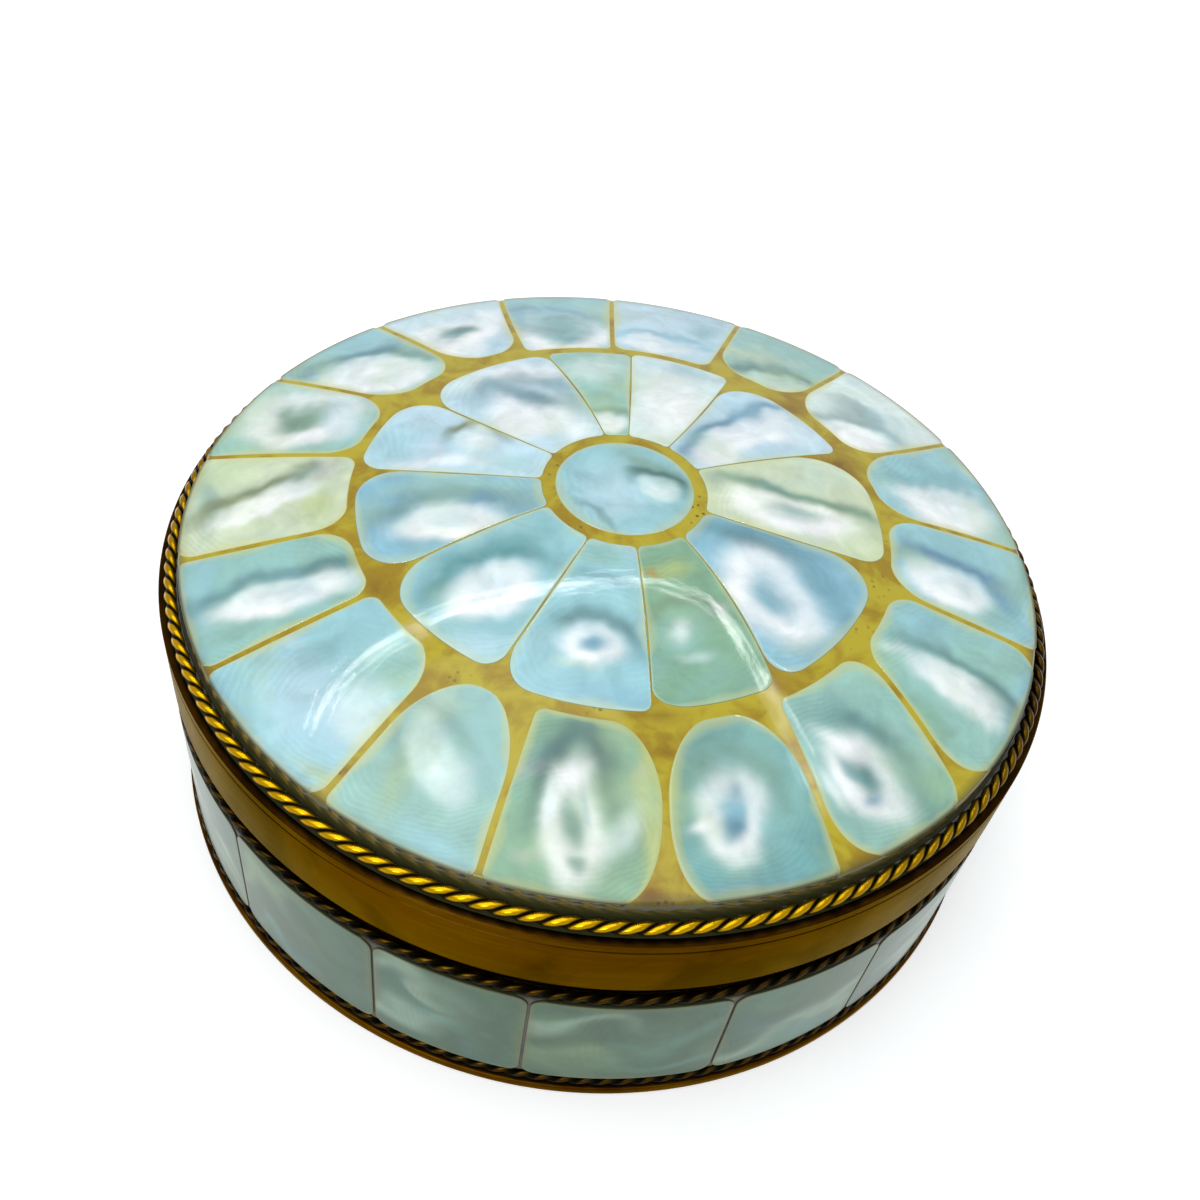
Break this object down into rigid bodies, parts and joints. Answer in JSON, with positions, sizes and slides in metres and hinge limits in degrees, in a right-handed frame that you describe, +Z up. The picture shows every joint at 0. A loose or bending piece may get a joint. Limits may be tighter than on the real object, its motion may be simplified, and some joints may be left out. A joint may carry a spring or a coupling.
{
  "type": "round trinket box",
  "caption": "Round lidded trinket box with a domed lift-off lid, mother-of-pearl tiles set in golden resin and twisted brass rope edging.",
  "frame": {"origin": "centre of the underside", "axes": "+Z up through the middle of the lid, -Y towards the front of the picture"},
  "size_m": [0.0928, 0.0928, 0.0373],
  "materials": {
    "aged_brass": "aged, satin, browned in the seams",
    "rope_brass": "polished on the strands, dark between them",
    "pearl_lid": "polished mother-of-pearl, blue-grey with white clouds",
    "pearl_side": "polished mother-of-pearl, grey-green",
    "gold_resin": "polished ochre resin with dark pits",
    "dark_resin": "dark filler in the joints"
  },
  "bodies": {
    "root": {"base_shell": "aged_brass", "foot_ring": "aged_brass", "foot_rope": "rope_brass", "lid_center_tile": "pearl_lid", "lid_inner_tile_01": "pearl_lid", "lid_inner_tile_02": "pearl_lid", "lid_inner_tile_03": "pearl_lid", "lid_inner_tile_04": "pearl_lid", "lid_inner_tile_05": "pearl_lid", "lid_inner_tile_06": "pearl_lid", "lid_inner_tile_07": "pearl_lid", "lid_inner_tile_08": "pearl_lid", "lid_inner_tile_09": "pearl_lid", "lid_inner_tile_10": "pearl_lid", "lid_inner_tile_11": "pearl_lid", "lid_outer_tile_01": "pearl_lid", "lid_outer_tile_02": "pearl_lid", "lid_outer_tile_03": "pearl_lid", "lid_outer_tile_04": "pearl_lid", "lid_outer_tile_05": "pearl_lid", "lid_outer_tile_06": "pearl_lid", "lid_outer_tile_07": "pearl_lid", "lid_outer_tile_08": "pearl_lid", "lid_outer_tile_09": "pearl_lid", "lid_outer_tile_10": "pearl_lid", "lid_outer_tile_11": "pearl_lid", "lid_outer_tile_12": "pearl_lid", "lid_outer_tile_13": "pearl_lid", "lid_outer_tile_14": "pearl_lid", "lid_outer_tile_15": "pearl_lid", "lid_outer_tile_16": "pearl_lid", "lid_outer_tile_17": "pearl_lid", "lid_resin_bed": "gold_resin", "lid_rope": "rope_brass", "lid_shell": "aged_brass", "side_resin_bed": "dark_resin", "side_rope": "rope_brass", "side_tile_01": "pearl_side", "side_tile_02": "pearl_side", "side_tile_03": "pearl_side", "side_tile_04": "pearl_side", "side_tile_05": "pearl_side", "side_tile_06": "pearl_side", "side_tile_07": "pearl_side", "side_tile_08": "pearl_side", "side_tile_09": "pearl_side", "side_tile_10": "pearl_side", "side_tile_11": "pearl_side", "side_tile_12": "pearl_side", "side_tile_13": "pearl_side", "side_tile_14": "pearl_side", "side_tile_15": "pearl_side", "side_tile_16": "pearl_side", "side_tile_17": "pearl_side"}
  },
  "joints": []
}
